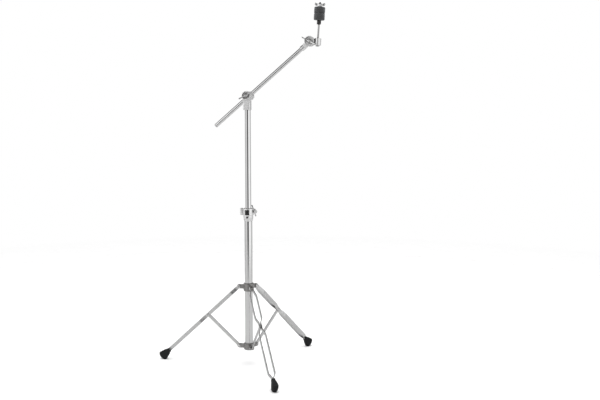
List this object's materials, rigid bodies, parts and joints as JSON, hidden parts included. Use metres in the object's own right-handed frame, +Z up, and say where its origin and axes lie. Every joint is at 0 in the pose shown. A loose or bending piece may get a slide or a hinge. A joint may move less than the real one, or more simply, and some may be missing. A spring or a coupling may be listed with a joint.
{
  "type": "cymbal boom stand",
  "caption": "Folding tripod stand with a telescoping mast, a tilting sliding boom and a tilting rod with felts that holds a cymbal.",
  "frame": {"origin": "on the mast axis at floor level, the middle of the circle that the three feet stand on", "axes": "+Z up along the mast, +X the side the boom reaches to, -Y the side with the wing nuts of the clamps"},
  "size_m": [0.5574, 0.5466, 1.1639],
  "materials": {
    "chrome_tube": "polished chrome plate",
    "cast_collar": "chrome-plated die casting, slightly soft",
    "cast_tripod": "nickel-plated casting, satin",
    "strip_steel": "zinc-plated flat strip, satin",
    "plated_steel": "bright plated steel",
    "wing_casting": "chrome-plated casting",
    "rod_steel": "plated threaded rod",
    "dark_steel": "black-oxide steel",
    "black_rubber": "matt moulded rubber",
    "black_nylon": "moulded black nylon",
    "grey_felt": "pressed dark grey felt"
  },
  "bodies": {
    "root": {"lower_tube": "chrome_tube", "tube_end_plug": "black_nylon", "leg_spider": "cast_tripod", "spider_pivot_pins": "plated_steel", "spider_set_screw": "dark_steel", "height_collar": "cast_collar", "collar_roll_pin": "dark_steel", "collar_hinge_pin": "plated_steel", "collar_clamp_bolt": "plated_steel"},
    "collar_nut": {"collar_wing_nut": "wing_casting"},
    "front_brace": {"brace_front": "strip_steel"},
    "front_leg": {"leg_front_left_strip": "strip_steel", "leg_front_right_strip": "strip_steel", "leg_front_rivets": "plated_steel", "foot_front": "black_rubber"},
    "rear_brace": {"brace_rear": "strip_steel"},
    "rear_leg": {"leg_rear_left_strip": "strip_steel", "leg_rear_right_strip": "strip_steel", "leg_rear_rivets": "plated_steel", "foot_rear": "black_rubber"},
    "side_brace": {"brace_side": "strip_steel"},
    "side_leg": {"leg_side_left_strip": "strip_steel", "leg_side_right_strip": "strip_steel", "leg_side_rivets": "plated_steel", "foot_side": "black_rubber"},
    "leg_collar": {"tripod_collar": "cast_tripod"},
    "collar_lock": {"tripod_lock_bolt": "wing_casting"},
    "bush": {"tube_bush": "black_nylon"},
    "mast": {"upper_tube": "chrome_tube", "upper_tube_end_ring": "black_nylon", "mast_head": "cast_collar", "mast_head_screw": "dark_steel"},
    "hub": {"boom_hub": "cast_collar", "boom_eye_bolt": "plated_steel"},
    "boom_nut": {"boom_wing_nut": "wing_casting", "boom_lock_washer": "plated_steel"},
    "liner": {"boom_liner": "black_nylon"},
    "boom": {"boom_tube": "chrome_tube", "boom_end_cap": "black_nylon", "tilter_socket": "cast_collar", "tilter_socket_pin": "plated_steel"},
    "tilter": {"tilter_arm": "cast_collar", "tilter_bolt": "plated_steel", "cymbal_rod": "rod_steel", "rod_lock_nut": "plated_steel", "cymbal_sleeve": "black_nylon", "lower_felt": "grey_felt"},
    "tilter_nut": {"tilter_wing_nut": "wing_casting", "tilter_lock_washer": "plated_steel"},
    "top_felt": {"upper_felt": "grey_felt"},
    "cymbal_nut": {"cymbal_wing_nut": "wing_casting"}
  },
  "joints": [
    {"name": "legs_fold", "type": "hinge", "parent": "root", "child": "front_brace", "pos_m": [0.01625, -0.02815, 0.061], "axis": [-0.866, -0.5, 0], "range_deg": [-6.8, 43.2]},
    {"name": "front_leg_pivot", "type": "hinge", "parent": "front_brace", "child": "front_leg", "pos_m": [0.06945, -0.12028, 0.15952], "axis": [-0.866, -0.5, 0], "range_deg": [-86.6, 13.8]},
    {"name": "collar_lift", "type": "hinge", "parent": "front_leg", "child": "leg_collar", "pos_m": [0.01625, -0.02815, 0.25804], "axis": [-0.866, -0.5, 0], "range_deg": [-6.9, 43.3]},
    {"name": "rear_brace_pivot", "type": "hinge", "parent": "root", "child": "rear_brace", "pos_m": [0.01625, 0.02815, 0.061], "axis": [0.866, -0.5, 0], "range_deg": [-6.9, 43.3]},
    {"name": "rear_leg_pivot", "type": "hinge", "parent": "rear_brace", "child": "rear_leg", "pos_m": [0.06945, 0.12028, 0.15952], "axis": [0.866, -0.5, 0], "range_deg": [-86.6, 13.8]},
    {"name": "side_brace_pivot", "type": "hinge", "parent": "root", "child": "side_brace", "pos_m": [-0.0325, 0, 0.061], "axis": [0, 1, 0], "range_deg": [-6.9, 43.3]},
    {"name": "side_leg_pivot", "type": "hinge", "parent": "side_brace", "child": "side_leg", "pos_m": [-0.13889, 0, 0.15952], "axis": [0, 1, 0], "range_deg": [-86.6, 13.8]},
    {"name": "collar_lock_turn", "type": "hinge", "parent": "leg_collar", "child": "collar_lock", "pos_m": [-0.0125, 0.02165, 0.25704], "axis": [-0.5, 0.866, 0], "continuous": true},
    {"name": "collar_nut_turn", "type": "hinge", "parent": "root", "child": "collar_nut", "pos_m": [0.01264, 0.02423, 0.504], "axis": [-0.4067, 0.9135, 0], "continuous": true},
    {"name": "mast_swivel", "type": "hinge", "parent": "root", "child": "bush", "pos_m": [0, 0, 0.502], "axis": [0, 0, 1], "continuous": true},
    {"name": "mast_height", "type": "slide", "parent": "bush", "child": "mast", "axis": [0, 0, 1], "range_m": [-0.31, 0.04]},
    {"name": "boom_tilt", "type": "hinge", "parent": "mast", "child": "hub", "pos_m": [0, 0, 0.875], "axis": [0, -1, 0], "range_deg": [-75.3, 49.7]},
    {"name": "boom_nut_turn", "type": "hinge", "parent": "hub", "child": "boom_nut", "pos_m": [0, -0.026, 0.875], "axis": [0, -1, 0], "continuous": true},
    {"name": "boom_roll", "type": "hinge", "parent": "hub", "child": "liner", "pos_m": [0, 0.019, 0.875], "axis": [0.7627, 0, 0.6468], "continuous": true},
    {"name": "boom_slide", "type": "slide", "parent": "liner", "child": "boom", "axis": [0.7627, 0, 0.6468], "range_m": [-0.2, 0.12]},
    {"name": "cymbal_tilt", "type": "hinge", "parent": "boom", "child": "tilter", "pos_m": [0.19867, 0.019, 1.04349], "axis": [0, -1, 0], "range_deg": [-55, 95]},
    {"name": "tilter_nut_turn", "type": "hinge", "parent": "tilter", "child": "tilter_nut", "pos_m": [0.19867, 0, 1.04349], "axis": [0, -1, 0], "continuous": true},
    {"name": "top_felt_lift", "type": "slide", "parent": "tilter", "child": "top_felt", "axis": [0.061, 0, 0.9981], "range_m": [0, 0.045]},
    {"name": "cymbal_nut_turn", "type": "hinge", "parent": "top_felt", "child": "cymbal_nut", "pos_m": [0.23017, 0.019, 1.15377], "axis": [0.061, 0, 0.9981], "continuous": true}
  ],
  "couplings": [
    {"joint": "front_leg_pivot", "follows": "legs_fold", "ratio": -2},
    {"joint": "collar_lift", "follows": "legs_fold", "ratio": 1},
    {"joint": "rear_brace_pivot", "follows": "legs_fold", "ratio": 1},
    {"joint": "rear_leg_pivot", "follows": "legs_fold", "ratio": -2},
    {"joint": "side_brace_pivot", "follows": "legs_fold", "ratio": 1},
    {"joint": "side_leg_pivot", "follows": "legs_fold", "ratio": -2}
  ]
}
